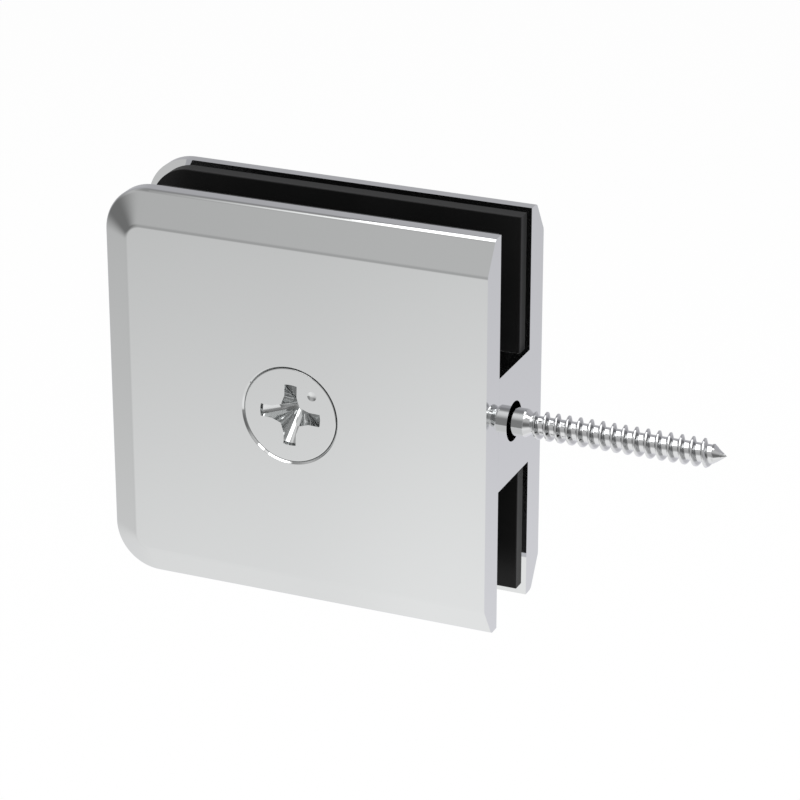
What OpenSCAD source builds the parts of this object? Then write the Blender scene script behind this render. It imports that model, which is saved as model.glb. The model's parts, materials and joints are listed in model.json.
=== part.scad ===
// Glass panel clamp that holds the edge of a glass panel to a wall.
// Two bevelled plates grip the glass between rubber gaskets. The rear plate is one
// casting with a tongue, which is screwed to the wall and passes through a notch in the glass.
// Millimetres. +X points out of the clamp into the wall, +Y from front to back, +Z up.
// The origin lies on the wall face, on the axis of the wood screw.

/* [Plates] */
// Side of the square plates
plate_side = 50.8; // [42:0.1:64]
// Full thickness of each plate
plate_t = 4.1; // [3.4:0.1:6]
// Height of the straight edge below the bevel
side_wall_t = 1.7; // [1:0.1:2.4]
// Width of the bevel, seen from the front
bevel_w = 4.1; // [2:0.1:5]
// Radius of the two corners away from the wall
corner_r = 5.9; // [4.9:0.1:9]
// Rounding between the straight edge and the bevel
edge_r = 0.6; // [0.2:0.1:1]
// Rounding between the bevel and the face
face_edge_r = 0.8; // [0.2:0.1:1]

/* [Jaw] */
// Thickness of the glass that the closed jaw takes
glass_t = 6; // [5:0.1:12]
// Play left for the glass
glass_play = 0.1; // [0:0.05:0.5]
// Thickness of each gasket
gasket_t = 1.9; // [1:0.1:3]
// How far the gaskets stay inside the plates at the top and at the wall
gasket_inset = 0.6; // [0.3:0.1:2]
// How far they stay inside at the bottom
gasket_bottom_inset = 1.5; // [0.3:0.1:3]
// How far they stay inside at the free side
gasket_free_inset = 1.3; // [0.3:0.1:3]
// Gap between a gasket's notch and the tongue
gasket_notch_gap = 0.5; // [0.2:0.1:1.5]

/* [Tongue] */
// Height of the tongue
tongue_h = 14.7; // [11.5:0.1:20]
// Gap between the tongue and the closed front plate
tongue_gap = 0.1; // [0.05:0.05:0.5]
// Room around the screws in the driver channel
channel_gap = 0.3; // [0.1:0.1:0.5]

/* [Centre screw] */
// Diameter of the centre screw
centre_screw_d = 6.35; // [4:0.05:8]
// Diameter of its countersunk head
centre_head_d = 12.25; // [10:0.05:15]
// Height of the straight rim around the head
centre_head_rim = 0.2; // [0.1:0.05:0.5]
// Metal left between the blind tapped hole and the rear face
rear_skin_t = 0.8; // [0.5:0.1:1.5]
// Length of its cross recess from tip to tip
centre_recess_l = 7.8; // [5:0.1:9.4]
// Width of the recess's arms
centre_recess_w = 1.6; // [1:0.1:2]
// Depth of the recess
centre_recess_depth = 3.4; // [2:0.1:4.2]
// Clockwise turn of the recess, seen from the front
centre_recess_turn = 1.85; // [0:0.05:45]
// Diameter of the small round mark on the head
mark_d = 1.2; // [0.6:0.1:1.6]
// Depth of the mark
mark_depth = 0.25; // [0.1:0.05:0.4]
// Distance of the mark from the screw's axis
mark_at = 4; // [3.3:0.1:4.8]

/* [Wood screw] */
// Whole length of the wood screw
wood_screw_l = 38.1; // [31.7:0.1:47]
// Length that stands out of the wall face
wood_screw_out = 26.7; // [22:0.1:33]
// Diameter over the thread and of the plain shank
wood_screw_d = 3.5; // [2.9:0.1:4.5]
// Diameter of its flat head
wood_head_d = 7; // [5.8:0.1:8.4]
// Pitch of the thread
wood_pitch = 1.41; // [1.17:0.01:2]
// Depth of the thread
thread_depth = 0.63; // [0.3:0.01:0.8]
// Width of the thread at its root
thread_base_w = 0.88; // [0.5:0.01:1.1]
// Width of the thread at its crest
thread_crest_w = 0.25; // [0.05:0.01:0.4]
// Bare shank that shows outside the wall face
shank_out = 1.17; // [0.6:0.01:2]
// Length of the cone from the shank to the core
shank_cone_l = 1.13; // [0.6:0.01:2]
// Start of the thread past the wall face
thread_start = 1.63; // [1.2:0.01:2]
// Length over which the core runs in to the point
point_l = 3.1; // [2.5:0.1:5]
// Half angle of the point that cuts off the last turns
point_half_angle = 38.5; // [32:0.5:46.5]
// Length of its cross recess from tip to tip
wood_recess_l = 4.3; // [3:0.1:5.2]
// Width of the recess's arms
wood_recess_w = 0.95; // [0.6:0.05:1.2]
// Depth of the recess
wood_recess_depth = 1.7; // [1:0.1:2.1]
// Radial gap between the shank and the hole in the tongue
wood_hole_gap = 0.75; // [0.2:0.05:1]
// How far the head sits below the tongue's inner end
wood_head_sink = 0.2; // [0:0.05:1]

/* [Hidden] */

plate_colour = [0.78, 0.79, 0.8];
rubber_colour = [0.05, 0.05, 0.05];
screw_colour = [0.72, 0.72, 0.73];

// Facets of a true circle, and steps of a rounded edge
round_fn = 96;
arc_steps = 6;

// Radial gap between pieces that turn in each other
run_gap = 0.05;
// Radial gap between the centre screw and its hole in the front plate
centre_hole_gap = 0.2;
// Length of tapped hole left free below the centre screw's tip
tapped_spare = 0.3;
// Cutting shapes run this far past the faces that they open
past = 1;

half_side = plate_side / 2;
corner_at = half_side - corner_r;
jaw_gap = glass_t + glass_play + 2 * gasket_t;
half_gap = jaw_gap / 2;
bevel_angle = atan2(plate_t - side_wall_t, bevel_w);

// Both screws have the usual 82 degree countersunk head
head_half_angle = 41;
centre_r = centre_screw_d / 2;
centre_head_r = centre_head_d / 2;
centre_cone_h = (centre_head_r - centre_r) / tan(head_half_angle);
front_face_y = -half_gap - plate_t;
tapped_end_y = half_gap + plate_t - rear_skin_t;
centre_screw_l = tapped_end_y - tapped_spare - front_face_y;

wood_r = wood_screw_d / 2;
wood_head_r = wood_head_d / 2;
wood_cone_h = (wood_head_r - wood_r) / tan(head_half_angle);
wood_screw_in = wood_screw_l - wood_screw_out;
neck_x = shank_out + shank_cone_l;

// The centre screw's radius where it enters the tongue: its shank, or its cone if that reaches so deep
entry_depth = plate_t + tongue_gap - centre_head_rim;
entry_r = max(centre_r, centre_head_r - entry_depth * tan(head_half_angle));

// The solid end of the tongue reaches in to just past the wood screw's head.
// The channel behind it clears that head and the centre screw.
block_l = wood_screw_in + wood_head_sink;
channel_w = 2 * (max(wood_head_r, entry_r) + channel_gap);
channel_floor_y = wood_head_r + channel_gap;

core_r = wood_r - thread_depth;
thread_steps = 18;
// Shortest bare point past the last turn of thread
bare_point_l = 0.1;
thread_turns = floor((wood_screw_out - bare_point_l - thread_start - thread_base_w) / wood_pitch);
// Lets the round neck enclose the faceted core
neck_lip = 0.02;

// Points of a circular arc from angle a0 to angle a1
function arc(centre, r, a0, a1) =
    [for (i = [0:arc_steps]) let (a = a0 + (a1 - a0) * i / arc_steps) centre + r * [cos(a), sin(a)]];

// Outer end of the plate's section: distance from the corner's centre, then height over the inner face
function rim_points() = concat(
    [[corner_r, 0]],
    arc([corner_r - edge_r, side_wall_t - edge_r * tan(45 - bevel_angle / 2)], edge_r, 0, 90 - bevel_angle),
    arc([corner_r - bevel_w - face_edge_r * tan(bevel_angle / 2), plate_t - face_edge_r],
        face_edge_r, 90 - bevel_angle, 90)
);

// The whole section from the bottom edge to the top edge
function plate_section() = let (rim = rim_points(), n = len(rim)) concat(
    [for (p = rim) [corner_at + p[0], p[1]]],
    [for (i = [n - 1:-1:0]) [-corner_at - rim[i][0], rim[i][1]]]
);

// A plate with its inner face on z = 0, its wall end at x = 0 and its bevel upwards
module plate_blank() {
    rim = concat([[0, 0]], rim_points(), [[0, plate_t]]);
    translate([corner_r - plate_side, 0, 0]) {
        rotate([90, 0, 90])
            linear_extrude(plate_side - corner_r)
            polygon(plate_section());
        translate([0, -corner_at, 0])
            rotate([90, 0, 180])
            linear_extrude(2 * corner_at)
            polygon(rim);
        for (side = [-1, 1])
            translate([0, side * corner_at, 0])
            rotate([0, 0, side > 0 ? 90 : 180])
            rotate_extrude(angle = 90, $fn = round_fn)
            polygon(rim);
    }
}

// Stands a flat shape up in the front jaw, with its z = 0 face at the given distance from the middle
module in_front(distance) {
    translate([0, -distance, 0]) rotate([90, 0, 0]) children();
}

// The same in the rear jaw, face to face with the front one
module in_rear(distance) {
    mirror([0, 1, 0]) in_front(distance) children();
}

// Outline of the tongue grown all round, from its round end to past the wall face
module tongue_outline(grow = 0, wall_end = 0) {
    translate([-half_side, -tongue_h / 2 - grow])
        square([half_side + wall_end, tongue_h + 2 * grow]);
    translate([-half_side, 0])
        circle(tongue_h / 2 + grow, $fn = round_fn);
}

// It is rooted halfway through the rear plate
module tongue() {
    root = plate_t / 2;
    in_rear(half_gap + root)
        mirror([0, 0, 1])
        linear_extrude(root + jaw_gap - tongue_gap)
        tongue_outline();
}

// Open channel that lets the wood screw and its driver in from the free side
module driver_channel() {
    length = half_side + tongue_h / 2 - block_l + past;
    translate([-block_l - length, -half_gap - past, -channel_w / 2])
        cube([length, half_gap + past + channel_floor_y, channel_w]);
}

// Clearance hole along X with a countersink at its inner end
module wood_screw_hole() {
    seat_r = wood_r + run_gap;
    seat_h = wood_cone_h + wood_head_sink;
    rotate([0, 90, 0])
        translate([0, 0, -block_l]) {
            translate([0, 0, -past])
                cylinder(h = block_l + 2 * past, r = wood_r + wood_hole_gap, $fn = round_fn);
            cylinder(h = seat_h, r1 = seat_r + seat_h * tan(head_half_angle), r2 = seat_r, $fn = round_fn);
        }
}

module tapped_hole() {
    translate([-half_side, tapped_end_y, 0])
        rotate([90, 0, 0])
        cylinder(h = tapped_end_y - channel_floor_y + past, r = centre_r + run_gap, $fn = round_fn);
}

module rear_plate() {
    color(plate_colour)
        difference() {
            union() {
                in_rear(half_gap) plate_blank();
                tongue();
            }
            driver_channel();
            wood_screw_hole();
            tapped_hole();
        }
}

// Hole through the front plate with a countersink in its face
module centre_screw_hole() {
    seat_r = centre_r + run_gap;
    seat_h = centre_cone_h + centre_head_rim;
    translate([-half_side, front_face_y, 0])
        rotate([-90, 0, 0]) {
            translate([0, 0, -past])
                cylinder(h = plate_t + 2 * past, r = centre_r + centre_hole_gap, $fn = round_fn);
            cylinder(h = seat_h, r1 = seat_r + seat_h * tan(head_half_angle), r2 = seat_r, $fn = round_fn);
        }
}

module front_plate() {
    color(plate_colour)
        difference() {
            in_front(half_gap) plate_blank();
            centre_screw_hole();
        }
}

// Sheet with round corners at the free side and a notch that clears the tongue
module gasket_sheet() {
    r = corner_r - gasket_inset;
    free_end = gasket_free_inset - plate_side;
    top = half_side - gasket_inset;
    bottom = gasket_bottom_inset - half_side;
    linear_extrude(gasket_t)
        difference() {
            union() {
                translate([free_end + r, bottom]) square([-gasket_inset - free_end - r, top - bottom]);
                translate([free_end, bottom + r]) square([r + past, top - bottom - 2 * r]);
                for (y = [bottom + r, top - r])
                    translate([free_end + r, y]) circle(r, $fn = round_fn);
            }
            tongue_outline(gasket_notch_gap, past);
        }
}

module front_gasket() {
    color(rubber_colour) in_front(half_gap - gasket_t) gasket_sheet();
}

module rear_gasket() {
    color(rubber_colour) in_rear(half_gap - gasket_t) gasket_sheet();
}

// Outline of a cross recess at a share t of its depth: four arms whose flanks flare out
// to a ridge on each diagonal. Everything runs in towards the bottom.
function cross_outline(length, width, t) = let (
    reach = length / 2 * (1 - 0.62 * t),
    half_w = width / 2 * (1 - 0.4 * t),
    flare = length / 2 * (0.6 - 0.35 * t),
    ridge = length / 2 * (0.31 - 0.16 * t)
) [for (a = [0:90:270], p = [[reach, -half_w], [reach, half_w], [flare, half_w], [ridge, ridge]])
    [p[0] * cos(a) - p[1] * sin(a), p[0] * sin(a) + p[1] * cos(a)]];

// Cross recess cut downwards from z = 0. Its flanks are carried on a little above the head's face.
module cross_recess(length, width, depth) {
    over = 0.1;
    top = [for (p = cross_outline(length, width, -over)) [p[0], p[1], over * depth]];
    low = [for (p = cross_outline(length, width, 0.85)) [p[0], p[1], -0.85 * depth]];
    n = len(top);
    faces = concat(
        [for (i = [0:n - 1]) [i, (i + 1) % n, n + (i + 1) % n]],
        [for (i = [0:n - 1]) [i, n + (i + 1) % n, n + i]],
        [for (i = [0:n - 1]) [2 * n, n + i, n + (i + 1) % n]],
        [for (i = [0:n - 1]) [2 * n + 1, (i + 1) % n, i]]
    );
    polyhedron(concat(top, low, [[0, 0, -depth], [0, 0, over * depth]]), faces);
}

module centre_screw() {
    tip = centre_r / 4;
    mark_r = (pow(mark_d / 2, 2) + pow(mark_depth, 2)) / (2 * mark_depth);
    color(screw_colour)
        translate([-half_side, front_face_y, 0])
        rotate([90, 0, 0])
        difference() {
            rotate_extrude($fn = round_fn) polygon([
                [0, 0],
                [centre_head_r, 0],
                [centre_head_r, -centre_head_rim],
                [centre_r, -centre_head_rim - centre_cone_h],
                [centre_r, tip - centre_screw_l],
                [centre_r - tip, -centre_screw_l],
                [0, -centre_screw_l]
            ]);
            rotate([0, 0, -centre_recess_turn])
                cross_recess(centre_recess_l, centre_recess_w, centre_recess_depth);
            rotate([0, 0, 45])
                translate([mark_at, 0, mark_r - mark_depth])
                sphere(mark_r, $fn = round_fn);
        }
}

// Radius of the wood screw's core at a distance past the wall face
function core_at(x) = core_r * min(1, (wood_screw_out - x) / point_l);

// Radius over its thread there: the thread grows over its first turn, and the point cuts off the last
function crest_at(x) = min(
    core_at(x) + thread_depth * min(1, (x - thread_start) / wood_pitch),
    (wood_screw_out - x) * tan(point_half_angle)
);

// One of the four points that a turn of thread has on a half-plane through the axis: foot, crest,
// crest, foot. Row i is that half-plane's place in the turn, and k counts the points along the screw.
function thread_point(i, k) = let (
    turn = floor(k / 4),
    part = k - 4 * turn,
    rise = (thread_base_w - thread_crest_w) / 2,
    along = [0, rise, rise + thread_crest_w, thread_base_w][part],
    x = thread_start + wood_pitch * (turn + i / thread_steps) + along,
    r = part == 1 || part == 2 ? crest_at(x) : core_at(x),
    a = 360 * i / thread_steps
) [r * cos(a), r * sin(a), x];

// Threaded stretch as one closed surface, with its axis on Z and z = 0 at the wall face.
// It starts inside the shank. The row at a full turn is the first row again, one turn of thread further on.
module thread_body() {
    n = thread_steps;
    rows = 4 * thread_turns;
    last = rows - 1;
    start_r = 0.9 * core_r;
    start_x = shank_out / 2;
    start = [for (i = [0:n - 1]) [start_r * cos(360 * i / n), start_r * sin(360 * i / n), start_x]];
    grid = [for (i = [0:n], k = [0:last]) if (i < n || k > last - 4) thread_point(i, k)];
    points = concat([[0, 0, start_x]], start, grid, [[0, 0, wood_screw_out]]);
    tip = len(points) - 1;
    function at(i, k) = i < n ? 1 + n + i * rows + k
        : k > last - 4 ? tip - rows + k
        : at(0, k + 4);
    end_line = concat([at(0, last)], [for (k = [rows - 4:last]) at(n, k)], [tip]);
    faces = concat(
        [for (i = [0:n - 1]) [0, 1 + i, 1 + (i + 1) % n]],
        [for (i = [0:n - 1]) [1 + i, at(i, 0), at(i + 1, 0)]],
        [for (i = [0:n - 2]) [1 + i, at(i + 1, 0), 2 + i]],
        [for (k = [0:3]) [n, at(0, k + 1), at(0, k)]],
        [[n, at(0, 0), 1]],
        [for (i = [0:n - 1], k = [0:last - 1]) [at(i, k), at(i, k + 1), at(i + 1, k + 1)]],
        [for (i = [0:n - 1], k = [0:last - 1]) [at(i, k), at(i + 1, k + 1), at(i + 1, k)]],
        [for (i = [1:n - 1]) [tip, at(i + 1, last), at(i, last)]],
        [for (j = [0:len(end_line) - 2]) [at(1, last), end_line[j], end_line[j + 1]]]
    );
    polyhedron(points, faces);
}

module wood_screw() {
    color(screw_colour)
        rotate([0, 90, 0])
        difference() {
            union() {
                rotate_extrude($fn = round_fn) polygon([
                    [0, -wood_screw_in],
                    [wood_head_r, -wood_screw_in],
                    [wood_r, wood_cone_h - wood_screw_in],
                    [wood_r, shank_out],
                    [core_r + neck_lip, neck_x],
                    [0, neck_x]
                ]);
                thread_body();
            }
            translate([0, 0, -wood_screw_in])
                mirror([0, 0, 1])
                cross_recess(wood_recess_l, wood_recess_w, wood_recess_depth);
        }
}

rear_plate();
front_plate();
front_gasket();
rear_gasket();
centre_screw();
wood_screw();
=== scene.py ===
"""Glass panel clamp: its visible surfaces and finishes, the camera and the studio.

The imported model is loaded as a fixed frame. Every piece below stands for one of its nodes,
takes its place from that node's box and rides on the same body. Lengths are in metres.
"""

import json
import math

import bmesh
import bpy
import numpy as np
from bpy.props import FloatProperty, FloatVectorProperty, PointerProperty
from mathutils import Euler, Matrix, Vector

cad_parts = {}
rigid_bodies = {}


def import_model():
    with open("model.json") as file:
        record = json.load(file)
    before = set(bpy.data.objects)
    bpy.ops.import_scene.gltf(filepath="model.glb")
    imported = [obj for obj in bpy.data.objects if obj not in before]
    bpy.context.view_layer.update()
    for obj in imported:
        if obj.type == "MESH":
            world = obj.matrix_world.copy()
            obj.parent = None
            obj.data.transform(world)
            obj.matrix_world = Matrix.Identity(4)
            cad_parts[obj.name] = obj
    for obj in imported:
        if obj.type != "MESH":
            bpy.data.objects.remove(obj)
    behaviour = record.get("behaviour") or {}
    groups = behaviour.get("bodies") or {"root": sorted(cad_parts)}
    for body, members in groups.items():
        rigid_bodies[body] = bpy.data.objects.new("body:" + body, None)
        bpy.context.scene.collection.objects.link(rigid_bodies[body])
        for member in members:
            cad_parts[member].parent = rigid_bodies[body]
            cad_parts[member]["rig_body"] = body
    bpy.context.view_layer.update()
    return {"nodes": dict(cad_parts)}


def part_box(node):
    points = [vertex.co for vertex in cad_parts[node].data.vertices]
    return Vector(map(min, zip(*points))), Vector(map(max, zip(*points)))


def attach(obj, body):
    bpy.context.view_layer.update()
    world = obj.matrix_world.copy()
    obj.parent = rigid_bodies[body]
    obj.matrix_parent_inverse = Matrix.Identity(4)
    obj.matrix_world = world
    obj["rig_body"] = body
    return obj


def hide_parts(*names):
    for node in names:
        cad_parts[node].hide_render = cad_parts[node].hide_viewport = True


bl_info = {
    "name": "Glass panel clamp",
    "version": (1, 0, 0),
    "blender": (4, 5, 0),
    "location": "3D View > Sidebar > Glass clamp",
    "description": "Builds a bevelled glass panel clamp, its finishes and a plain studio around it",
    "category": "Object",
}

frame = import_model()
BOX = {node: [np.array(corner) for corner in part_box(node)] for node in frame["nodes"]}

# The clamp's own planes and axes, read from the frame. The wall face lies on x = 0.
FRONT_Y = BOX["front_plate"][0][1]
FRONT_INNER_Y = BOX["front_plate"][1][1]
BACK_Y = BOX["rear_plate"][1][1]
REAR_INNER_Y = BOX["rear_gasket"][1][1]
FREE_X = BOX["rear_plate"][0][0]
HALF_SIDE = BOX["rear_plate"][1][2]
SCREW_X = (BOX["centre_screw"][0][0] + BOX["centre_screw"][1][0]) / 2
CENTRE_TIP_Y = BOX["centre_screw"][1][1]
CENTRE_HEAD_R = BOX["centre_screw"][1][2]
WOOD_HEAD_X = BOX["wood_screw"][0][0]
WOOD_TIP_X = BOX["wood_screw"][1][0]
WOOD_HEAD_R = BOX["wood_screw"][1][2]

# Both screws have the usual 82 degree countersunk head.
HEAD_SLOPE = math.tan(math.radians(41))
# A narrow flat kept on each side of a rounding, so that smooth shading leaves the flats flat.
GUARD = 0.00003
# The same beside an arc of an outline, and inside the edge of the wood screw's head.
STRIP = 0.0003
# Edges that turn by more than this stay sharp.
SHARP = math.radians(20)
# Columns of a turned surface, and steps of a rounded corner.
ROUND = 128
CORNER = 24
# The share of a cross recess's depth that the steep end walls of its arms take.
END_WALL = 0.15

# The soft boxes over the clamp: name, centre, width and depth. All are equally bright.
LAMPS = (
    ("overhead", (-0.055, 0.08, 0.8), 0.565, 0.76),
    ("front", (-0.03, -0.52, 0.8), 0.52, 0.48),
    ("right", (0.525, -0.14, 0.7), 0.35, 0.70),
)
LAMP_BRIGHTNESS = 1.8
WHITE = (1, 1, 1)
# The world's light on surfaces that aren't polished, the floor's own colour and its white glow.
EVEN_LIGHT = 0.45
FLOOR_PALE = 0.9
FLOOR_WHITE = 1.03
# How much of the floor is glow to the camera. The rest is lit, and keeps the soft shadow.
GLOW_SHARE = 0.9


def size(name, description, default):
    """A length that a user may change."""
    return FloatProperty(name=name, description=description, default=default, unit="LENGTH", precision=5)


def angle(name, description, degrees):
    """An angle that a user may change."""
    return FloatProperty(name=name, description=description, default=math.radians(degrees), subtype="ANGLE")


def share(name, description, default):
    """A number without a unit that a user may change."""
    return FloatProperty(name=name, description=description, default=default, min=0.0, precision=3)


def colour(name, description, default):
    """A linear colour that a user may change."""
    return FloatVectorProperty(name=name, description=description, default=default, size=3,
                               subtype="COLOR", min=0.0, max=1.0)


class ClampPlateSizes(bpy.types.PropertyGroup):
    """Sizes of the two plates and of the tongue that the rear one carries."""

    side_wall: size("Side wall", "Height of the straight edge below the bevel", 0.0017)
    bevel: size("Bevel", "Width of the bevel, seen from the front", 0.00392)
    corner_r: size("Corner radius", "Radius of the two corners away from the wall", 0.0059)
    edge_r: size("Edge rounding", "Rounding between the straight edge and the bevel", 0.0008)
    face_edge_r: size("Face rounding", "Rounding between the bevel and the face", 0.00095)
    tongue: size("Tongue height", "Height of the tongue between the plates", 0.0147)
    tongue_gap: size("Tongue gap", "Gap between the tongue and the closed front plate", 0.000004)
    channel_gap: size("Channel gap", "Room around the screws in the driver channel", 0.0003)
    wood_hole_r: size("Wood screw hole", "Radius of the hole in the tongue's end", 0.0025)
    head_sink: size("Head sink", "Depth of the wood screw's head below the tongue's inner end", 0.0002)
    seat_gap: size("Seat gap", "Gap between the wood screw's head and its countersink", 0.00006)
    tapped_r: size("Tapped hole", "Radius of the blind tapped hole", 0.003225)
    rear_skin: size("Rear skin", "Metal left behind the tapped hole", 0.0008)
    centre_hole_r: size("Centre hole", "Radius of the hole through the front plate", 0.003375)
    centre_seat_r: size("Countersink", "Radius of the countersink where it meets the face", 0.00632)
    seat_edge_r: size("Countersink edge", "Rounding of the countersink's edge", 0.00006)


class ClampGasketSizes(bpy.types.PropertyGroup):
    """Sizes of the two rubber gaskets."""

    corner_r: size("Corner radius", "Radius of the two corners away from the wall", 0.0053)
    notch_gap: size("Notch gap", "Gap between the notch and the tongue", 0.00005)
    edge_r: size("Edge rounding", "Rounding of the cut edges", 0.00012)
    front_short: size("Front sheet", "How much further the front sheet stays back from the wall", 0.0004)


class ClampCentreScrewSizes(bpy.types.PropertyGroup):
    """Sizes of the countersunk machine screw."""

    head_trim: size("Head trim", "How much smaller the head's radius is than its nominal one", 0.0001)
    head_sink: size("Head sink", "Depth of the head's face below the front plate's", 0.00015)
    shank_r: size("Shank radius", "Radius over its thread", 0.003175)
    rim: size("Head rim", "Height of the straight rim around the head", 0.00017)
    rim_r: size("Rim rounding", "Rounding of the head's edge", 0.00009)
    pitch: size("Pitch", "Pitch of its thread", 0.00127)
    thread_depth: size("Thread depth", "Depth of its thread", 0.00069)
    thread_r: size("Thread rounding", "Rounding of the thread's crest and root", 0.00008)
    plain: size("Plain shank", "Length of bare shank below the head's cone", 0.0008)
    recess_length: size("Recess length", "Length of the cross recess from tip to tip", 0.0079)
    recess_width: size("Recess width", "Width of the recess's arms", 0.0016)
    recess_depth: size("Recess depth", "Depth of the recess", 0.0034)
    recess_turn: angle("Recess turn", "Clockwise turn of the recess, seen from the front", 1.85)
    mark_r: size("Mark radius", "Radius of the small round mark on the head", 0.0006)
    mark_depth: size("Mark depth", "Depth of the mark", 0.00014)
    mark_at: size("Mark place", "Distance of the mark from the screw's axis", 0.0041)


class ClampWoodScrewSizes(bpy.types.PropertyGroup):
    """Sizes of the wood screw."""

    shank_r: size("Shank radius", "Radius over its thread and of its plain shank", 0.00175)
    shank_out: size("Shank outside", "Bare shank that shows outside the wall face", 0.0017)
    cone: size("Shank cone", "Length of the cone from the shank to the core", 0.0009)
    pitch: size("Pitch", "Pitch of its thread", 0.00141)
    thread_start: size("Thread start", "Start of the thread past the wall face", 0.00163)
    thread_depth: size("Thread depth", "Depth of its thread", 0.00063)
    thread_base: size("Thread base", "Width of the thread at its root", 0.0008)
    thread_crest: size("Thread crest", "Width of the thread at its crest", 0.00022)
    thread_r: size("Thread rounding", "Rounding of the thread's crest and root", 0.00009)
    point: size("Point", "Length over which the core runs in to the point", 0.00155)
    point_angle: angle("Point angle", "Half angle of the point that cuts off the last turns", 37.0)
    recess_length: size("Recess length", "Length of the cross recess from tip to tip", 0.0043)
    recess_width: size("Recess width", "Width of the recess's arms", 0.00095)
    recess_depth: size("Recess depth", "Depth of the recess", 0.0017)


class ClampFinishes(bpy.types.PropertyGroup):
    """Colours and polish of the clamp's finishes."""

    chrome: colour("Chrome", "Colour of the polished chrome plate", (0.765, 0.775, 0.775))
    screw_chrome: colour("Screw chrome", "Colour of the centre screw", (0.765, 0.775, 0.775))
    steel: colour("Steel", "Colour of the bright wood screw", (0.76, 0.765, 0.77))
    rubber: colour("Rubber", "Colour of the black rubber", (0.011, 0.011, 0.011))


class ClampStage(bpy.types.PropertyGroup):
    """The camera and the floor."""

    camera_at: FloatVectorProperty(name="Camera place", description="Where the camera stands",
                                   default=(0.13096, -0.34299, 0.159), subtype="TRANSLATION")
    pitch: angle("Camera pitch", "How far the camera looks down", 23.07)
    yaw: angle("Camera yaw", "How far the camera is turned towards the free side", 23.027)
    lens: share("Lens", "Focal length in millimetres", 150.29)
    floor_side: size("Floor", "Side of the square floor", 8.0)
    floor_drop: size("Floor drop", "How far the floor lies below the clamp's middle", 0.15)


# ---------------------------------------------------------------------------------------------
# Surfaces
# ---------------------------------------------------------------------------------------------

class Skin:
    """One closed surface, made of patches. Patches that share an edge have the same points there."""

    def __init__(self):
        self.points = []
        self.faces = []
        self.count = 0

    def add(self, points):
        """Adds an array of points, three numbers each, and returns their places in the list."""
        points = np.asarray(points, float)
        numbers = self.count + np.arange(points[..., 0].size).reshape(points.shape[:-1])
        self.points.append(points.reshape(-1, 3))
        self.count += numbers.size
        return numbers

    def quads(self, near, far):
        """Joins two equal arrays of point numbers (rows, columns) with quads between columns."""
        self.faces += np.stack([near[:-1], far[:-1], far[1:], near[1:]], axis=-1).reshape(-1, 4).tolist()

    def grid(self, points, closed=False):
        """Quads over a grid of points (rows, columns, 3). Closed joins the last column to the first."""
        numbers = self.add(points)
        self.quads(numbers[:, :-1], numbers[:, 1:])
        if closed:
            self.quads(numbers[:, -1:], numbers[:, :1])

    def flat(self, *runs):
        """One flat face. Its outline is the runs of points, joined end to end."""
        self.faces.append(self.add(np.concatenate(runs)).tolist())

    def piece(self, name, node, material):
        """Welds the patches into a closed mesh that stands for a node and rides on its body."""
        mesh = bpy.data.meshes.new(name)
        mesh.from_pydata(np.concatenate(self.points), [], self.faces)
        work = bmesh.new()
        work.from_mesh(mesh)
        bmesh.ops.remove_doubles(work, verts=work.verts, dist=1e-7)
        bmesh.ops.recalc_face_normals(work, faces=work.faces)
        if not all(edge.is_manifold for edge in work.edges):
            raise RuntimeError(f"{name} isn't closed")
        work.to_mesh(mesh)
        work.free()
        mesh.shade_smooth()
        mesh.set_sharp_from_angle(angle=SHARP)
        mesh.materials.append(material)
        obj = bpy.data.objects.new(name, mesh)
        bpy.context.scene.collection.objects.link(obj)
        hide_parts(node)
        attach(obj, frame["nodes"][node]["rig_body"])
        return obj


def arc(centre, radius, start, end, steps):
    """Points centre + radius (cos a, sin a), where a runs evenly from start to end, in degrees."""
    turn = np.radians(np.linspace(start, end, steps + 1))
    return np.asarray(centre) + radius * np.stack([np.cos(turn), np.sin(turn)], axis=-1)


def rounded(corners, radii, steps=8):
    """A path along corners (n, 2), with an arc of its own radius at each inner corner.

    With unit directions d and e before and after a corner p and the turn f between them, the arc
    of radius r starts at p - d r tan(f / 2) and ends at p + e r tan(f / 2).
    """
    corners = np.asarray(corners, float)
    path = [corners[:1]]
    for before, corner, after, radius in zip(corners, corners[1:], corners[2:], radii):
        if radius == 0:
            path.append(corner[None])
            continue
        d = (corner - before) / np.linalg.norm(corner - before)
        e = (after - corner) / np.linalg.norm(after - corner)
        side = np.sign(d[0] * e[1] - d[1] * e[0])
        turn = math.degrees(math.acos(np.clip(d @ e, -1, 1)))
        reach = radius * math.tan(math.radians(turn / 2))
        inward = side * np.array([-d[1], d[0]])
        centre = corner - reach * d + radius * inward
        first = math.degrees(math.atan2(-inward[1], -inward[0]))
        path += [(corner - (reach + GUARD) * d)[None],
                 arc(centre, radius, first, first + side * turn, steps),
                 (corner + (reach + GUARD) * e)[None]]
    return np.concatenate(path + [corners[-1:]])


def turned(profile):
    """Turns a profile of (radius, height) about the third axis: (r cos a, r sin a, h)."""
    radius, height = np.asarray(profile, float).T
    a = 2 * np.pi * np.arange(ROUND) / ROUND
    return np.stack([np.outer(radius, np.cos(a)), np.outer(radius, np.sin(a)),
                     np.outer(height, np.ones(ROUND))], axis=-1)


def placed(points, origin, x_axis, y_axis, z_axis):
    """Stands points in another frame: origin + x X + y Y + z Z."""
    return np.asarray(origin) + np.asarray(points) @ np.array([x_axis, y_axis, z_axis], float)


def at_height(outline, y):
    """Lays an outline of (x, z) on the plane at that y."""
    outline = np.asarray(outline, float)
    return np.stack([outline[:, 0], np.full(len(outline), y), outline[:, 1]], axis=-1)


def on_wall(outline, x):
    """Lays an outline of (y, z) on the plane at that x."""
    outline = np.asarray(outline, float)
    return np.stack([np.full(len(outline), x), outline[:, 0], outline[:, 1]], axis=-1)


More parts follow.
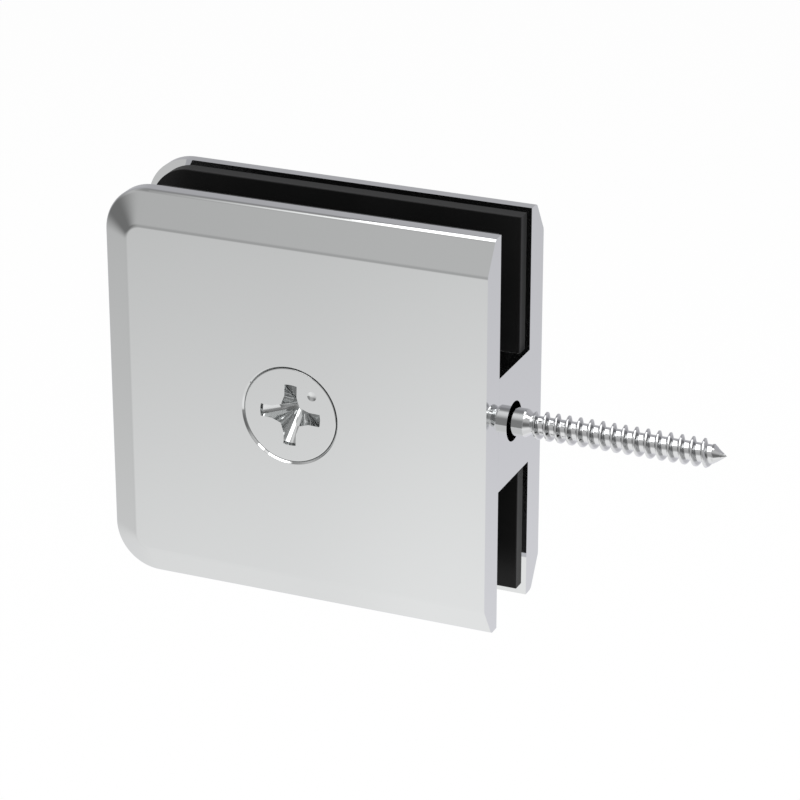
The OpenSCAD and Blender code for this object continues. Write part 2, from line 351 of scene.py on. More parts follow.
def flipped(outline):
    """The same outline below the middle, walked the other way: (x, -z)."""
    return np.asarray(outline, float)[::-1] * (1, -1)


def share_of(ring, start, turn):
    """The stretch of a closed ring from a share of it round by another share, which may be negative."""
    steps = np.arange(round(abs(turn) * len(ring)) + 1) * int(np.sign(turn))
    return ring[(round(start * len(ring)) + steps) % len(ring)]


def both_halves(skin, lay, upper):
    """Two flat faces: an outline above the middle, and its mirror image below."""
    skin.flat(lay(upper))
    skin.flat(lay(flipped(upper)))


def threaded(skin, place, span, pitch, start, section, radius_at):
    """A helical skin about the third axis that closes to a ring of points at both ends of its span.

    Row k of column i lies at x = start + pitch (turn + place + i / columns), held within the span,
    where turn and place come from k and the section. The radius there is radius_at(x, height), and
    the height is 0 at the end.
    The last column meets the first one a turn of rows further on.
    """
    places, heights = section
    turns = math.ceil((span[1] - start) / pitch) + 1
    turn, part = np.divmod(np.arange(len(places) * turns + 1), len(places))
    i = np.arange(ROUND)
    x = np.clip(start + pitch * ((turn + places[part])[:, None] + i / ROUND), *span)
    r = radius_at(x, heights[part][:, None] * (x < span[1]))
    a = 2 * np.pi * i / ROUND
    grid = skin.add(place(np.stack([r * np.cos(a), r * np.sin(a), x], axis=-1)))
    skin.quads(grid[:, :-1], grid[:, 1:])
    skin.quads(grid[:-len(places), -1:], grid[len(places):, :1])


def thread_section(pitch, base, crest, depth, radius):
    """Places along one pitch, as shares of it, and heights there, as shares of the thread's depth.

    The thread is a trapezium, as wide as base at its root and as crest at its top, in the middle of
    the pitch. Its four corners are rounded, and it lies between two flats.
    """
    root = (pitch - base) / 2
    rise = (base - crest) / 2
    path = rounded([(0, 0), (root / 3, 0), (root, 0), (root + rise, depth), (pitch - root - rise, depth),
                    (pitch - root, 0), (pitch - root / 3, 0), (pitch, 0)],
                   (0,) + (radius,) * 4 + (0,), steps=4)
    return path[:-1, 0] / pitch, path[:-1, 1] / depth


def cross_outline(length, width, t):
    """Outline of a cross recess at a share t of its depth, with its ridges on the diagonals.

    Each arm ends in an arc of radius reach about the middle. That radius hardly changes down the
    end wall, and then shrinks evenly, so that the floor is a cone.
    The arm's flanks lean in a little, and flare out near the ridges.
    """
    # Shares of the full size at the mouth, at the foot of the end wall and at the bottom
    levels = (0, END_WALL, 1)
    reach = length / 2 * np.interp(t, levels, (1, 0.97, 0.15))
    half = width / 2 * np.interp(t, levels, (1, 0.95, 0.44))
    # Shares at the mouth and at the bottom
    flare = reach * np.interp(t, (0, 1), (0.62, 0.72))
    ridge = length / 2 * np.interp(t, (0, 1), (0.31, 0.098))
    spread = math.degrees(math.asin(half / reach))
    arm = np.concatenate([[(ridge, -ridge), (flare, -half)], arc((0, 0), reach, -spread, spread, 20),
                          [(flare, half)]])
    quarter = np.array([[0, 1], [-1, 0]])
    return np.concatenate([arm @ np.linalg.matrix_power(quarter, turns) for turns in range(4)])


def recess(skin, place, level, length, width, depth, turn=0.0):
    """Cuts a cross recess into a face at that level and returns its outline there, as placed points.

    The outline at a share t of the depth lies at level + t depth, and all are turned by one angle.
    """
    shares = np.concatenate([[0], np.linspace(END_WALL, 1, 12)])
    cos, sin = math.cos(turn), math.sin(turn)
    turning = np.array([[cos, sin], [-sin, cos]])
    wall = place(np.stack([np.insert(cross_outline(length, width, t) @ turning,
                                     2, level + t * depth, axis=1) for t in shares]))
    skin.grid(wall, closed=True)
    skin.flat(wall[-1])
    return wall[0]


# ---------------------------------------------------------------------------------------------
# Plates
# ---------------------------------------------------------------------------------------------

def rim_profile(plate):
    """The plate's rim as (inset, height over the inner face): side wall, bevel, start of the face."""
    thick = BACK_Y - REAR_INNER_Y
    slope = math.atan2(thick - plate.side_wall, plate.bevel)
    face = plate.bevel + plate.face_edge_r * math.tan(slope / 2) + 2 * GUARD
    return rounded([(0, 0), (0, plate.side_wall), (plate.bevel, thick), (face, thick)],
                   (plate.edge_r, plate.face_edge_r))[:-1]


def plate_half(plate, inset):
    """Upper half of a plate's outline, from the middle of the wall end to that of the free side.

    Its corner is an arc about a fixed centre, whose radius is corner_r less the inset.
    """
    corner_x, corner_z = FREE_X + plate.corner_r, HALF_SIDE - plate.corner_r
    top, free = HALF_SIDE - inset, FREE_X + inset
    return np.concatenate([[(0, 0), (0, plate.tongue / 2), (0, top), (corner_x + STRIP, top)],
                           arc((corner_x, corner_z), plate.corner_r - inset, 90, 180, CORNER),
                           [(free, corner_z - STRIP), (free, 0)]])


def plate_rim(skin, plate, inner_y, outward):
    """The rim of a plate: its outline at each inset, carried up the profile from the inner face."""
    loops = []
    for inset, height in rim_profile(plate):
        upper = plate_half(plate, inset)
        loops.append(at_height(np.concatenate([upper, flipped(upper)[1:-1]]), inner_y + outward * height))
    skin.grid(np.stack(loops), closed=True)


def make_front_plate(plate, material):
    """The front plate: rim, two flat faces and a countersunk hole turned about the screw's axis."""
    skin = Skin()
    plate_rim(skin, plate, FRONT_INNER_Y, -1)
    thick = FRONT_INNER_Y - FRONT_Y
    narrow = thick - (plate.centre_seat_r - plate.centre_hole_r) / HEAD_SLOPE
    hole = rounded([(plate.centre_seat_r + 3 * plate.seat_edge_r, thick), (plate.centre_seat_r, thick),
                    (plate.centre_hole_r, narrow), (plate.centre_hole_r, 0)], (plate.seat_edge_r, 0))
    wall = placed(turned(hole), (SCREW_X, FRONT_INNER_Y, 0), (1, 0, 0), (0, 0, 1), (0, -1, 0))
    skin.grid(wall, closed=True)
    face_inset = rim_profile(plate)[-1][0]
    for inset, ring, y in ((face_inset, wall[0], FRONT_Y), (0, wall[-1], FRONT_INNER_Y)):
        upper_ring = ring[:ROUND // 2 + 1, [0, 2]]
        both_halves(skin, lambda outline, y=y: at_height(outline, y),
                    np.concatenate([plate_half(plate, inset), upper_ring[::-1]]))
    skin.piece("front_plate_body", "front_plate", material)


def make_rear_plate(plate, material):
    """The rear plate and its tongue, with the driver channel and both screws' holes.

    The tongue's outline is carried straight forward from the plate, and the holes are turned.
    """
    skin = Skin()
    plate_rim(skin, plate, REAR_INNER_Y, 1)
    face_half = plate_half(plate, rim_profile(plate)[-1][0])
    skin.flat(at_height(np.concatenate([face_half, flipped(face_half)[1:-1]]), BACK_Y))

    half = plate.tongue / 2
    tip_y = FRONT_INNER_Y + plate.tongue_gap
    # The channel is as deep behind the wood screw's axis as it is wide beside it
    wide = WOOD_HEAD_R + plate.channel_gap
    floor_y = wide
    block_x = WOOD_HEAD_X - plate.head_sink
    mouth = math.degrees(math.asin(wide / half))

    # The tongue's outline, from the wall face to the channel's wall and on round its end
    side = np.concatenate([[(0, half), (SCREW_X + STRIP, half)],
                           arc((SCREW_X, 0), half, 90, 180 - mouth, CORNER)])
    nose = arc((SCREW_X, 0), half, 180 - mouth, 180, CORNER // 2)
    outline = np.concatenate([side, nose[1:]])
    around = np.concatenate([outline, flipped(outline)[1:]])

    inner = plate_half(plate, 0)[1:]
    skin.flat(at_height(np.concatenate([inner, flipped(inner)[1:]]), REAR_INNER_Y),
              at_height(around[1:-1][::-1], REAR_INNER_Y))
    skin.grid(np.stack([at_height(around, REAR_INNER_Y), at_height(around, floor_y)]))
    for wall in (side, flipped(side)):
        skin.grid(np.stack([at_height(wall, floor_y), at_height(wall, tip_y)]))

    # The front face of the tongue, and the channel's walls and floor
    front = np.concatenate([[(0, 0)], side, [(block_x, wide), (block_x, 0)]])
    skin.flat(at_height(np.concatenate([front, flipped(front)[1:-1]]), tip_y))
    wall = np.array([(side[-1][0], floor_y), (side[-1][0], tip_y), (block_x, tip_y), (block_x, floor_y)])
    for z in (wide, -wide):
        skin.flat(np.c_[wall, np.full(len(wall), z)])
    bore = placed(turned([(plate.tapped_r, floor_y), (plate.tapped_r, BACK_Y - plate.rear_skin)]),
                  (SCREW_X, 0, 0), (1, 0, 0), (0, 0, 1), (0, 1, 0))
    skin.grid(bore, closed=True)
    skin.flat(bore[-1])
    both_halves(skin, lambda outline: at_height(outline, floor_y), np.concatenate([
        [(block_x, 0), (block_x, wide)], nose, bore[0][:ROUND // 2 + 1, [0, 2]][::-1]]))

    # The wood screw's hole, turned about X from its countersink to the wall face
    seat_r = WOOD_HEAD_R + plate.head_sink * HEAD_SLOPE + plate.seat_gap
    narrow_x = block_x + (seat_r - plate.wood_hole_r) / HEAD_SLOPE
    hole = placed(turned([(seat_r, block_x), (plate.wood_hole_r, narrow_x), (plate.wood_hole_r, 0)]),
                  (0, 0, 0), (0, 1, 0), (0, 0, 1), (1, 0, 0))
    skin.grid(hole, closed=True)
    both_halves(skin, lambda outline: on_wall(outline, block_x), np.concatenate([
        [(tip_y, 0), (tip_y, wide), (floor_y, wide), (floor_y, 0)], hole[0][:ROUND // 2 + 1, 1:]]))
    both_halves(skin, lambda outline: on_wall(outline, 0), np.concatenate([
        [(tip_y, 0), (tip_y, half), (floor_y, half), (REAR_INNER_Y, half), (REAR_INNER_Y, 0)],
        hole[-1][:ROUND // 2 + 1, 1:]]))
    skin.piece("rear_plate_body", "rear_plate", material)


# ---------------------------------------------------------------------------------------------
# Gaskets and screws
# ---------------------------------------------------------------------------------------------

def gasket_outline(gasket, plate, inset, short):
    """Outline of a gasket, drawn in by the inset: two round corners and a round-ended notch."""
    low, high = BOX["rear_gasket"]
    left, right, bottom, top = low[0] + inset, high[0] - inset - short, low[2] + inset, high[2] - inset
    r = gasket.corner_r
    corner_x, low_z, high_z = low[0] + r, low[2] + r, high[2] - r
    notch = plate.tongue / 2 + gasket.notch_gap + inset
    return np.concatenate([
        [(right, notch), (right, top), (corner_x + STRIP, top)],
        arc((corner_x, high_z), r - inset, 90, 180, CORNER),
        [(left, high_z - STRIP), (left, low_z + STRIP)],
        arc((corner_x, low_z), r - inset, 180, 270, CORNER),
        [(corner_x + STRIP, bottom), (right, bottom), (right, -notch), (SCREW_X + STRIP, -notch)],
        arc((SCREW_X, 0), notch, -90, -270, 2 * CORNER),
        [(SCREW_X + STRIP, notch)],
    ])


def make_gasket(gasket, plate, node, material):
    """A rubber sheet: its outline carried round the rounded edges, closed by two flat faces."""
    skin = Skin()
    low_y = BOX[node][0][1]
    thick = BOX[node][1][1] - low_y
    deep = gasket.edge_r + 3 * GUARD
    edge = rounded([(deep, 0), (0, 0), (0, thick), (deep, thick)], (gasket.edge_r, gasket.edge_r), steps=5)
    short = gasket.front_short if node == "front_gasket" else 0
    loops = [at_height(gasket_outline(gasket, plate, inset, short), low_y + height)
             for inset, height in edge[1:-1]]
    skin.grid(np.stack(loops), closed=True)
    skin.flat(loops[0])
    skin.flat(loops[-1])
    return skin.piece(node + "_sheet", node, material)


def make_centre_screw(screw, material):
    """The machine screw, turned about its axis: a head with a cross recess and a round mark, a cone
    and a threaded shank whose end is chamfered. Depths run inwards from the head's face."""
    skin = Skin()
    face_y = FRONT_Y + screw.head_sink
    length = CENTRE_TIP_Y - face_y

    def place(points):
        return placed(points, (SCREW_X, face_y, 0), (1, 0, 0), (0, 0, -1), (0, 1, 0))

    head_r = CENTRE_HEAD_R - screw.head_trim
    cone_end = screw.rim + (head_r - screw.shank_r) / HEAD_SLOPE
    thread_at = cone_end + screw.plain
    minor_r = screw.shank_r - screw.thread_depth
    head = rounded([(head_r - 3 * screw.rim_r, 0), (head_r, 0), (head_r, screw.rim),
                    (screw.shank_r, cone_end), (screw.shank_r, thread_at)], (screw.rim_r, 0, 0))
    skin.grid(place(turned(head)), closed=True)
    ring = place(turned(head[:1]))[0]

    def radius_at(depth, height):
        """The shank, cut in between the crests over the first pitch and on, and its end's chamfer."""
        grown = np.clip((depth - thread_at) / screw.pitch, 0, 1)
        chamfer = minor_r + (length - depth)
        return np.minimum(screw.shank_r - screw.thread_depth * grown * (1 - height), chamfer)

    section = thread_section(screw.pitch, base=0.75 * screw.pitch, crest=screw.pitch / 8,
                             depth=screw.thread_depth, radius=screw.thread_r)
    threaded(skin, place, (thread_at, length), screw.pitch, thread_at - screw.pitch, section, radius_at)
    skin.flat(place(turned([(minor_r, length)]))[0])

    outline = recess(skin, place, 0, screw.recess_length, screw.recess_width, screw.recess_depth,
                     screw.recess_turn)

    # The round mark is a bowl, cut from a ball, on a diagonal of the head
    ball_r = (screw.mark_r ** 2 + screw.mark_depth ** 2) / (2 * screw.mark_depth)
    mouth = math.degrees(math.acos(screw.mark_r / ball_r))
    bowl = arc((0, screw.mark_depth - ball_r), ball_r, mouth, 90, steps=8)
    spread = screw.mark_at / math.sqrt(2)
    mark = place(turned(bowl[:-1]) + (spread, -spread, 0))
    skin.grid(mark, closed=True)
    skin.flat(mark[-1])

    # The head's face, in two halves that part along the diagonal through the mark
    skin.flat(share_of(ring, 7 / 8, 1 / 2), share_of(outline, 1 / 2, -1 / 2),
              share_of(mark[0], 3 / 8, -1 / 2))
    skin.flat(share_of(ring, 3 / 8, 1 / 2), share_of(mark[0], 7 / 8, -1 / 2),
              share_of(outline, 1, -1 / 2))
    skin.piece("centre_screw_body", "centre_screw", material)


def make_wood_screw(screw, material):
    """The wood screw, turned about its axis: a flat head with a cross recess, a cone, a plain shank
    and a thread that runs out at the point. Places x run from the wall face into the wall."""
    skin = Skin()

    def place(points):
        return placed(points, (0, 0, 0), (0, 0, -1), (0, 1, 0), (1, 0, 0))

    core_r = screw.shank_r - screw.thread_depth
    cone_end = WOOD_HEAD_X + (WOOD_HEAD_R - screw.shank_r) / HEAD_SLOPE
    slope = screw.thread_depth / screw.cone

    def core_at(x):
        """The core's radius, which runs in evenly to the point."""
        return core_r * np.minimum(1, (WOOD_TIP_X - x) / screw.point)

    def radius_at(x, height):
        """The thread over the core, cut off by the point's cone, or the shank's cone if that is more."""
        grown = np.clip((x - screw.thread_start) / screw.pitch, 0, 1)
        crest = core_at(x) + screw.thread_depth * grown * height
        cone = np.clip(screw.shank_r - (x - screw.shank_out) * slope, core_at(x), screw.shank_r)
        return np.maximum(np.minimum(crest, (WOOD_TIP_X - x) * math.tan(screw.point_angle)), cone)

    edge_r, neck_r, blunt = 0.00008, 0.0002, 0.00002
    shank_end = screw.shank_out - screw.pitch / 8
    head = rounded([(WOOD_HEAD_R - STRIP, WOOD_HEAD_X), (WOOD_HEAD_R, WOOD_HEAD_X),
                    (screw.shank_r, cone_end), (screw.shank_r, shank_end)], (edge_r, neck_r))
    skin.grid(place(turned(head)), closed=True)
    end_x = WOOD_TIP_X - blunt
    section = thread_section(screw.pitch, screw.thread_base, screw.thread_crest, screw.thread_depth,
                             screw.thread_r)
    start = screw.thread_start - (screw.pitch - screw.thread_base) / 2
    threaded(skin, place, (shank_end, end_x), screw.pitch, start - 2 * screw.pitch, section, radius_at)
    skin.flat(place(turned([(radius_at(end_x, 0), end_x)]))[0])

    ring = place(turned(head[:1]))[0]
    outline = recess(skin, place, WOOD_HEAD_X, screw.recess_length, screw.recess_width,
                     screw.recess_depth)
    skin.flat(share_of(ring, 7 / 8, 1 / 2), share_of(outline, 1 / 2, -1 / 2))
    skin.flat(share_of(ring, 3 / 8, 1 / 2), share_of(outline, 1, -1 / 2))
    skin.piece("wood_screw_body", "wood_screw", material)


# ---------------------------------------------------------------------------------------------
# Finishes
# ---------------------------------------------------------------------------------------------

class Wire:
    """A node's output. Arithmetic on it adds Math nodes to its tree."""

    def __init__(self, nodes, socket):
        self.nodes = nodes
        self.socket = socket

    def maths(self, operation, *values):
        """One Math node, on wires or numbers."""
        return self.nodes.add("ShaderNodeMath", {"operation": operation}, dict(enumerate(values)))

    def __add__(self, other):
        return self.maths("ADD", self, other)

    def __sub__(self, other):
        return self.maths("SUBTRACT", self, other)

    def __rsub__(self, other):
        return self.maths("SUBTRACT", other, self)

    def __mul__(self, other):
        return self.maths("MULTIPLY", self, other)

    __radd__ = __add__
    __rmul__ = __mul__

    def step(self, start, end, low=0.0, high=1.0):
        """A smooth step from low to high, as this goes from start to end."""
        return self.nodes.add("ShaderNodeMapRange", {"interpolation_type": "SMOOTHSTEP"},
                              {"Value": self, "From Min": start, "From Max": end,
                               "To Min": low, "To Max": high})

    def towards(self, other, mask):
        """This where the mask is 0, and the other where it is 1."""
        return self + mask * (other - self)


class Nodes:
    """Builds one node tree, from empty."""

    def __init__(self, tree):
        self.tree = tree
        tree.nodes.clear()

    def add(self, kind, settings=None, inputs=None, output=0):
        """Adds a node with its settings, then the values or wires of its inputs."""
        node = self.tree.nodes.new(kind)
        for name, value in (settings or {}).items():
            setattr(node, name, value)
        for name, value in (inputs or {}).items():
            if isinstance(value, Wire):
                self.tree.links.new(value.socket, node.inputs[name])
            else:
                node.inputs[name].default_value = value
        return Wire(self, node.outputs[output]) if len(node.outputs) else None

    def parts(self, vector):
        """The three components of a vector."""
        node = self.add("ShaderNodeSeparateXYZ", None, {0: vector}).socket.node
        return [Wire(self, socket) for socket in node.outputs]

    def blend(self, factor, first, second):
        """A colour between two colours."""
        return self.add("ShaderNodeMix", {"data_type": "RGBA"},
                        {"Factor": factor, 6: first, 7: second}, output=2)

    def radius(self, place, centre, across):
        """Distance from an axis through the centre. Across is 1 in the two directions across it."""
        offset = self.add("ShaderNodeVectorMath", {"operation": "SUBTRACT"}, {0: place, 1: centre})
        flat = self.add("ShaderNodeVectorMath", {"operation": "MULTIPLY"}, {0: offset, 1: across})
        return self.add("ShaderNodeVectorMath", {"operation": "LENGTH"}, {0: flat}, output="Value")

    def noise(self, vector, scale, detail):
        """Soft noise from 0 to 1, with that many waves in a metre."""
        return self.add("ShaderNodeTexNoise", None, {"Vector": vector, "Scale": scale, "Detail": detail})


def toned(base, level=1):
    """A colour at a level of its own brightness, with an alpha of 1."""
    return (*(level * value for value in base), 1)


def bump(nodes, height, distance):
    """A normal that follows a height from 0 to 1, where 1 stands that distance out."""
    return nodes.add("ShaderNodeBump", None, {"Height": height, "Distance": distance, "Strength": 1.0})


def mirror_haze(nodes, place):
    """The roughness of mirror chrome: hardly any, in soft patches."""
    return 0.02 + 0.03 * nodes.noise(place, scale=180, detail=4)


def finish(name, base, metallic, gloss, build):
    """A material with one Principled shader. build(nodes, place) gives its roughness, and whatever
    else varies over it."""
    material = bpy.data.materials.new(name)
    material.use_nodes = True
    nodes = Nodes(material.node_tree)
    place = nodes.add("ShaderNodeTexCoord", output="Object")
    inputs = {"Base Color": toned(base), "Metallic": metallic, "Specular IOR Level": gloss}
    inputs.update(build(nodes, place))
    shader = nodes.add("ShaderNodeBsdfPrincipled", None, inputs)
    nodes.add("ShaderNodeOutputMaterial", None, {"Surface": shader})
    return material


def polished(name, base):
    """Mirror chrome: hardly any roughness, and the faintest waves in the plating."""
    def build(nodes, place):
        waves = nodes.noise(place, scale=90, detail=1)
        return {"Roughness": mirror_haze(nodes, place), "Normal": bump(nodes, waves, 0.000001)}
    return finish(name, base, 1.0, 0.5, build)


def plated_head(name, base, face_y, head_r):
    """Mirror chrome that is a little less metallic inside the recess, where a mirror would show too many
    mirrors and go black, and darker on the side of the head: painted shade in the gap between the head and
    its countersink.

    The head's face lies at that y, and depth is how far a point is behind it.
    """
    def build(nodes, place):
        depth = nodes.parts(place)[1] - face_y
        side = nodes.radius(place, (SCREW_X, 0, 0), (1, 0, 1)).step(0.85 * head_r, 0.9 * head_r)
        behind_face = depth.step(0.00002, 0.00008)
        inside = depth.step(0.0003, 0.001)
        # Painted shade: the side of the head, behind its face, takes a darker copy of the chrome
        return {"Base Color": nodes.blend(side * behind_face, toned(base), toned(base, 0.42)),
                "Metallic": 1 - 0.06 * inside, "Roughness": mirror_haze(nodes, place)}
    return finish(name, base, 1.0, 0.5, build)


def plated(name, base, core_r, crest_r):
    """Bright plated steel, darker on the flanks of its thread between those two radii: painted shade where
    the thread's flanks face each other.
    """
    fade = 0.0001
    thread_from, thread_full = 0.0025, 0.0035

    def build(nodes, place):
        radius = nodes.radius(place, (0, 0, 0), (0, 1, 1))
        thread = nodes.parts(place)[0].step(thread_from, thread_full)
        painted_thread_shade = radius.step(core_r, core_r + fade) * radius.step(crest_r - fade, crest_r - 3 * fade)
        patch = nodes.noise(place, scale=400, detail=2)
        # Painted shade: a darker copy of the steel on the thread's flanks
        return {"Base Color": nodes.blend(painted_thread_shade * thread, toned(base), toned(base, 0.7)),
                "Roughness": 0.03 + 0.04 * patch}
    return finish(name, base, 1.0, 0.5, build)


def rubber(name, base):
    """Smooth black rubber with a fine grain."""
    def build(nodes, place):
        grain = nodes.noise(place, scale=2600, detail=4)
        patch = nodes.noise(place, scale=160, detail=2)
        return {"Base Color": nodes.blend(patch, toned(base), toned(base, 1.5)),
                "Roughness": 0.3 + 0.1 * patch, "Normal": bump(nodes, grain, 0.000004)}
    return finish(name, base, 0.0, 0.18, build)


# ---------------------------------------------------------------------------------------------
# Stage
# ---------------------------------------------------------------------------------------------

def studio(nodes, direction):
    """The studio's colour in each direction, which polished metal shows.

    It is a pale floor, brightest below the clamp, between greyer walls: cooler behind the clamp,
    darker overhead, and darkest at the horizon on the left and above the floor in front on the right.
    A soft glow overhead fades out to the left of the lamps.
    A grey is a smooth step in z, the direction's height. A region is a product of smooth steps.
    """
    direction = nodes.add("ShaderNodeVectorMath", {"operation": "NORMALIZE"}, {0: direction})
    x, y, z = nodes.parts(direction)

    # The floor and the walls in front, on the left and behind
    left = x.step(-0.45, -0.8)
    behind = y.step(0.0, 0.6)
    front_grey = z.step(-0.12, -0.52, 0.57, 0.96)
    left_grey = z.step(-0.2, -0.6, 0.58, 0.88)
    back_grey = z.step(0.0, -0.75, 0.53, 0.84) * z.step(0.1, 0.4, 1.0, 0.9)
    grey = front_grey.towards(left_grey, left).towards(back_grey, behind)

    # The dark horizon, the ceiling, and the left side that is a little darker
    horizon = z.step(-0.3, -0.06) * z.step(0.6, 0.12) * (1 - behind)
    grey = grey * (1 - horizon * (0.22 + 0.43 * left))
    grey = grey * z.step(0.6, 0.85, 1.0, 0.6) * x.step(-0.45, -0.33, 0.93, 1.0)

    # The front on the right, dark above the floor and paler towards the ceiling
    right = x.step(-0.1, 0.1) * x.step(0.72, 0.55) * y.step(0.2, -0.2)
    right_grey = z.step(-0.37, -0.42, 0.3, 0.82) + z.step(0.4, 0.95, 0.0, 0.7)
    grey = grey.towards(right_grey, right)

    # A dark patch at the horizon on the far right, and the glow
    far_right = x.step(0.7, 0.76) * y.step(0.0, -0.3) * z.step(-0.4, -0.33) * z.step(0.5, 0.1)
    grey = grey * (1 - 0.62 * far_right)
    glow = x.step(-0.45, -0.355) * x.step(0.1, 0.0) * y.step(0.0, -0.15) * y.step(-0.57, -0.42)
    grey = grey.towards(1.45, glow * z.step(0.6, 0.7))
    tint = nodes.blend(behind, toned(WHITE), toned((1, 0.995, 1.045)))
    return nodes.add("ShaderNodeVectorMath", {"operation": "SCALE"}, {0: tint, "Scale": grey})


def seen_by(nodes):
    """Wires that are 1 for what the camera sees directly, and for what metal or glass shows."""
    rays = {name: nodes.add("ShaderNodeLightPath", output=name)
            for name in ("Is Camera Ray", "Is Glossy Ray", "Is Transmission Ray")}
    return rays["Is Camera Ray"], rays["Is Glossy Ray"] + rays["Is Transmission Ray"]


def make_world(scene):
    """White to the camera, the studio's colours to polished metal, and even light on the rest."""
    world = bpy.data.worlds.new("studio")
    world.use_nodes = True
    scene.world = world
    nodes = Nodes(world.node_tree)
    camera, mirror = seen_by(nodes)
    colours = studio(nodes, nodes.add("ShaderNodeTexCoord", output="Generated"))
    light = nodes.blend(mirror, toned(WHITE, EVEN_LIGHT), colours)
    background = nodes.add("ShaderNodeBackground", None,
                           {"Color": nodes.blend(camera, light, toned(WHITE)), "Strength": 1.0})
    nodes.add("ShaderNodeOutputWorld", None, {"Surface": background})


def make_floor(scene, side, drop):
    """A pale floor well below the clamp, which keeps the clamp's soft shadow."""
    mesh = bpy.data.meshes.new("floor")
    corners = side / 2 * np.array([(-1, -1), (1, -1), (1, 1), (-1, 1)])
    mesh.from_pydata(np.insert(corners, 2, -drop, axis=1), [], [(0, 1, 2, 3)])
    floor = bpy.data.objects.new("floor", mesh)
    scene.collection.objects.link(floor)
    material = bpy.data.materials.new("pale_floor")
    material.use_nodes = True
    mesh.materials.append(material)
    nodes = Nodes(material.node_tree)
    camera, mirror = seen_by(nodes)
    colours = studio(nodes, nodes.add("ShaderNodeTexCoord", output="Object"))
    glow = nodes.add("ShaderNodeEmission", None,
                     {"Color": nodes.blend(camera, colours, toned(WHITE, FLOOR_WHITE)), "Strength": 1.0})
    pale = nodes.add("ShaderNodeBsdfDiffuse", None, {"Color": toned(WHITE, FLOOR_PALE)})
    mixed = nodes.add("ShaderNodeMixShader", None, {0: camera * GLOW_SHARE + mirror, 1: pale, 2: glow})
    nodes.add("ShaderNodeOutputMaterial", None, {"Surface": mixed})


def make_lamp(scene, name, centre, width, depth):
    """A soft box that hangs level and shines down. Its power is pi x area x brightness."""
    lamp = bpy.data.lights.new(name, "AREA")
    lamp.shape = "RECTANGLE"
    lamp.size = width
    lamp.size_y = depth
    lamp.energy = math.pi * width * depth * LAMP_BRIGHTNESS
    holder = bpy.data.objects.new(name, lamp)
    holder.location = centre
    scene.collection.objects.link(holder)


def make_camera(scene, stage):
    """The camera, which stands to the right in front of the clamp and looks down at it."""
    lens = bpy.data.cameras.new("camera")
    lens.lens = stage.lens
    lens.sensor_width = 36
    lens.clip_start = 0.01
    lens.clip_end = 20
    camera = bpy.data.objects.new("camera", lens)
    camera.location = stage.camera_at
    camera.rotation_euler = Euler((math.pi / 2 - stage.pitch, 0, stage.yaw))
    scene.collection.objects.link(camera)
    scene.camera = camera


def make_stage(scene, stage):
    """The world, the floor, the lamps and the camera."""
    scene.view_settings.view_transform = "Standard"
    make_world(scene)
    make_floor(scene, stage.floor_side, stage.floor_drop)
    for name, centre, width, depth in LAMPS:
        make_lamp(scene, name, centre, width, depth)
    make_camera(scene, stage)


# ---------------------------------------------------------------------------------------------
# Operators, panel and start
# ---------------------------------------------------------------------------------------------

class MakeStage(bpy.types.Operator):
    """Sets up the camera, the floor, the world and the lamps"""

    bl_idname = "glass_clamp.stage"
    bl_label = "Stage"

    def execute(self, context):
        make_stage(context.scene, context.scene.clamp_stage)
        return {"FINISHED"}


class MakePlates(bpy.types.Operator):
    """Adds the front plate and the rear plate with its tongue"""

    bl_idname = "glass_clamp.plates"
    bl_label = "Plates"

    def execute(self, context):
        scene = context.scene
        chrome = polished("plate_chrome", scene.clamp_finishes.chrome)
        make_front_plate(scene.clamp_plates, chrome)
        make_rear_plate(scene.clamp_plates, chrome)
        return {"FINISHED"}


class MakeGaskets(bpy.types.Operator):
    """Adds the two rubber gaskets"""

    bl_idname = "glass_clamp.gaskets"
    bl_label = "Gaskets"

    def execute(self, context):
        scene = context.scene
        black = rubber("gasket_rubber", scene.clamp_finishes.rubber)
        make_gasket(scene.clamp_gaskets, scene.clamp_plates, "front_gasket", black)
        rear = make_gasket(scene.clamp_gaskets, scene.clamp_plates, "rear_gasket", black)
        # The polished margin beside the rear sheet shows the open slot and not the sheet's own edge
        rear.visible_glossy = False
        return {"FINISHED"}


class MakeCentreScrew(bpy.types.Operator):
    """Adds the countersunk machine screw"""

    bl_idname = "glass_clamp.centre_screw"
    bl_label = "Centre screw"

    def execute(self, context):
        scene = context.scene
        screw = scene.clamp_centre_screw
        chrome = plated_head("screw_chrome", scene.clamp_finishes.screw_chrome, FRONT_Y + screw.head_sink,
                             CENTRE_HEAD_R - screw.head_trim)
        make_centre_screw(screw, chrome)
        return {"FINISHED"}


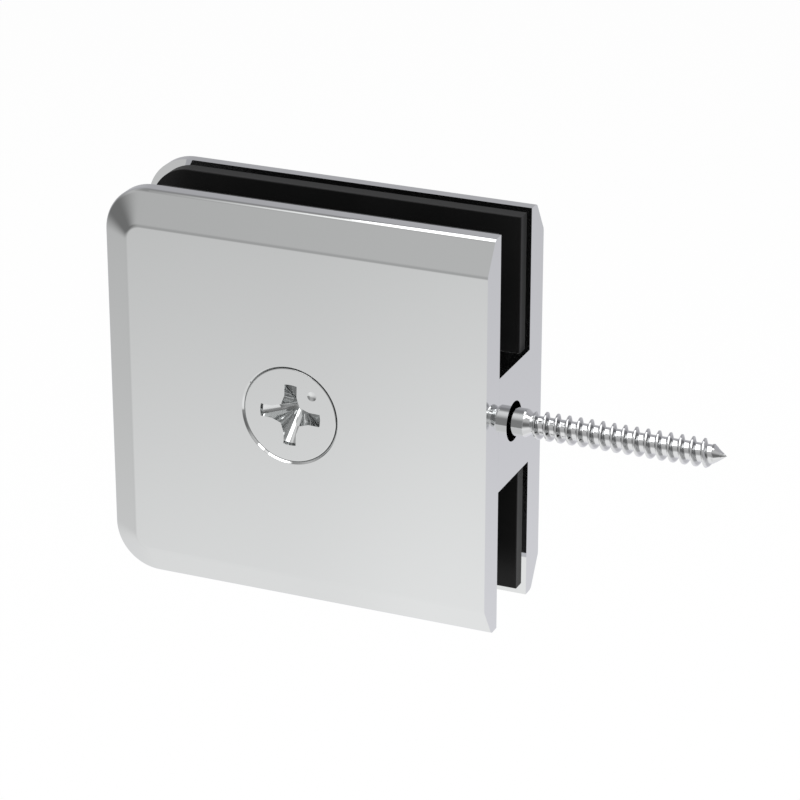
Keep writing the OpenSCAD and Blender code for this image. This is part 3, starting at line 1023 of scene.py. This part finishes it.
class MakeWoodScrew(bpy.types.Operator):
    """Adds the wood screw"""

    bl_idname = "glass_clamp.wood_screw"
    bl_label = "Wood screw"

    def execute(self, context):
        scene = context.scene
        screw = scene.clamp_wood_screw
        steel = plated("screw_steel", scene.clamp_finishes.steel, screw.shank_r - screw.thread_depth,
                       screw.shank_r)
        make_wood_screw(screw, steel)
        return {"FINISHED"}


OPERATORS = (MakeStage, MakePlates, MakeGaskets, MakeCentreScrew, MakeWoodScrew)
GROUPS = {
    "clamp_plates": ClampPlateSizes,
    "clamp_gaskets": ClampGasketSizes,
    "clamp_centre_screw": ClampCentreScrewSizes,
    "clamp_wood_screw": ClampWoodScrewSizes,
    "clamp_finishes": ClampFinishes,
    "clamp_stage": ClampStage,
}


class GlassClampPanel(bpy.types.Panel):
    """Lists the clamp's sizes, finishes and operators"""

    bl_idname = "VIEW3D_PT_glass_clamp"
    bl_label = "Glass panel clamp"
    bl_space_type = "VIEW_3D"
    bl_region_type = "UI"
    bl_category = "Glass clamp"

    def draw(self, context):
        for operator in OPERATORS:
            self.layout.operator(operator.bl_idname)
        for name, group in GROUPS.items():
            box = self.layout.box()
            box.label(text=name.replace("clamp_", "").replace("_", " ").capitalize())
            for field in group.__annotations__:
                box.prop(getattr(context.scene, name), field)


def register():
    """Registers the sizes, the operators and the panel."""
    for group in GROUPS.values():
        bpy.utils.register_class(group)
    for cls in (*OPERATORS, GlassClampPanel):
        bpy.utils.register_class(cls)
    for name, group in GROUPS.items():
        setattr(bpy.types.Scene, name, PointerProperty(type=group))


def unregister():
    """Takes away what register added."""
    for name in GROUPS:
        delattr(bpy.types.Scene, name)
    for cls in (GlassClampPanel, *reversed(OPERATORS)):
        bpy.utils.unregister_class(cls)
    for group in reversed(GROUPS.values()):
        bpy.utils.unregister_class(group)


def main():
    """Builds the stage and every piece."""
    register()
    bpy.ops.glass_clamp.stage()
    bpy.ops.glass_clamp.plates()
    bpy.ops.glass_clamp.gaskets()
    bpy.ops.glass_clamp.centre_screw()
    bpy.ops.glass_clamp.wood_screw()


if __name__ == "__main__":
    main()
